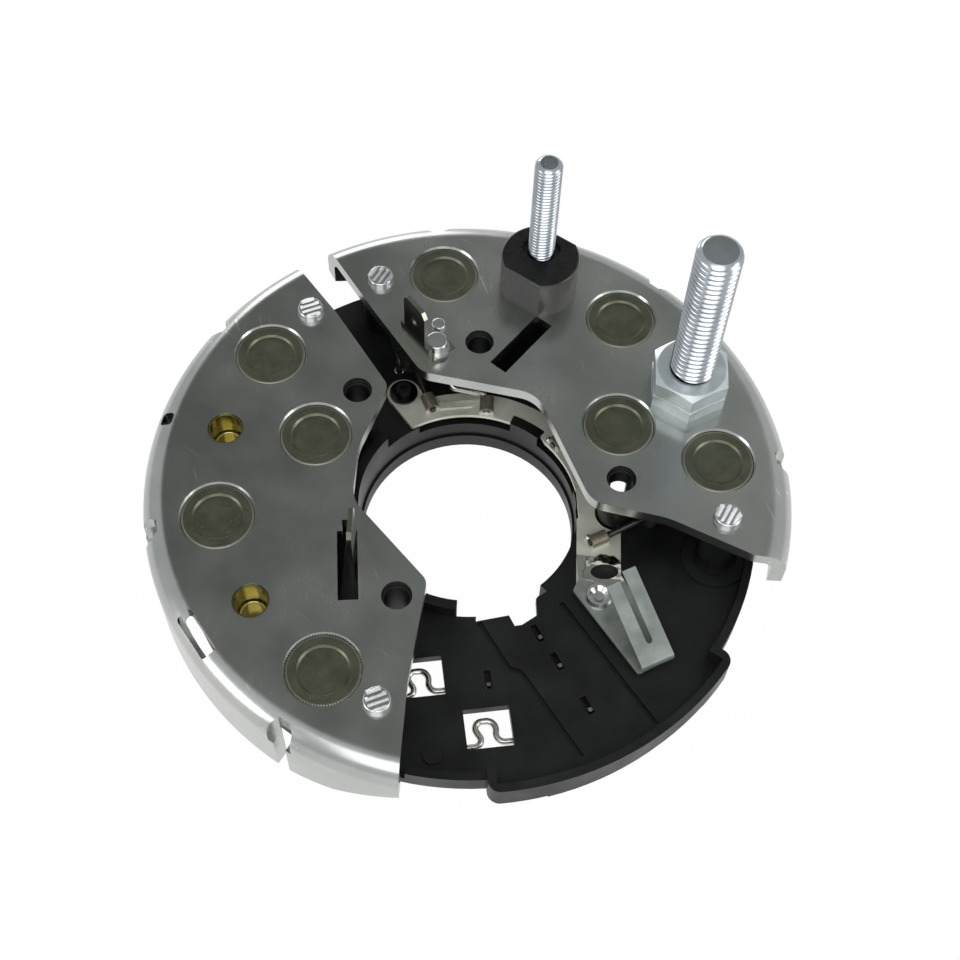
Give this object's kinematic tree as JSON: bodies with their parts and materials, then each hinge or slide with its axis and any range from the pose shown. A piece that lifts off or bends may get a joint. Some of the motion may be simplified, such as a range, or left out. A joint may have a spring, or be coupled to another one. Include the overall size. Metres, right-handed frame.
{
  "type": "alternator rectifier",
  "caption": "Round rectifier with folded aluminium heat sinks, press-fit diodes, a moulded base, threaded studs and spade terminals.",
  "frame": {"origin": "centre of the base's bore, at the foot of its collar", "axes": "+Z along the bore, the way the studs point; +X from the bore towards the positive heat sink's end mounting hole; +Y towards the lamp stud's side"},
  "size_m": [0.1152, 0.1145, 0.062],
  "materials": {
    "black_moulding": "satin black moulded plastic",
    "satin_aluminium": "satin pressed sheet",
    "nickel_cup": "dull nickel plate",
    "brass_insert": "bright turned brass",
    "rivet_aluminium": "bright staked aluminium",
    "bright_zinc": "bright zinc plate",
    "blue_zinc": "bluish zinc plate",
    "tinned_strip": "satin tin plate",
    "spring_plate": "satin nickel plate",
    "tinned_wire": "bright tinned wire",
    "black_insulator": "semi-gloss black plastic",
    "diode_epoxy": "satin black epoxy"
  },
  "bodies": {
    "root": {"terminal_base": "black_moulding", "negative_plate": "satin_aluminium", "positive_plate": "satin_aluminium", "negative_diode_1": "nickel_cup", "negative_diode_2": "nickel_cup", "negative_diode_3": "nickel_cup", "negative_diode_4": "nickel_cup", "negative_staked_rivets": "rivet_aluminium", "positive_diode_1": "nickel_cup", "positive_diode_2": "nickel_cup", "positive_diode_3": "nickel_cup", "positive_diode_4": "nickel_cup", "positive_staked_rivets": "rivet_aluminium", "brass_insert_1": "brass_insert", "brass_insert_2": "brass_insert", "battery_stud": "bright_zinc", "battery_stud_lower_nut": "blue_zinc", "battery_stud_upper_nut": "blue_zinc", "lamp_stud": "bright_zinc", "stud_insulator": "black_insulator", "lamp_stud_lead": "tinned_wire", "spade_terminal": "tinned_strip", "spade_rivet": "rivet_aluminium", "spade_locating_pin": "rivet_aluminium", "phase_tap_blade": "tinned_strip", "exciter_rail": "tinned_strip", "rail_washer": "spring_plate", "exciter_diode_1": "diode_epoxy", "exciter_diode_2": "diode_epoxy", "exciter_diode_3": "diode_epoxy", "spring_contact": "spring_plate", "spring_contact_rivet": "rivet_aluminium", "phase_wire_outer_near": "tinned_wire", "phase_wire_inner_near": "tinned_wire", "phase_wire_outer_far": "tinned_wire", "phase_wire_inner_far": "tinned_wire", "wire_staples": "tinned_strip"}
  },
  "joints": []
}
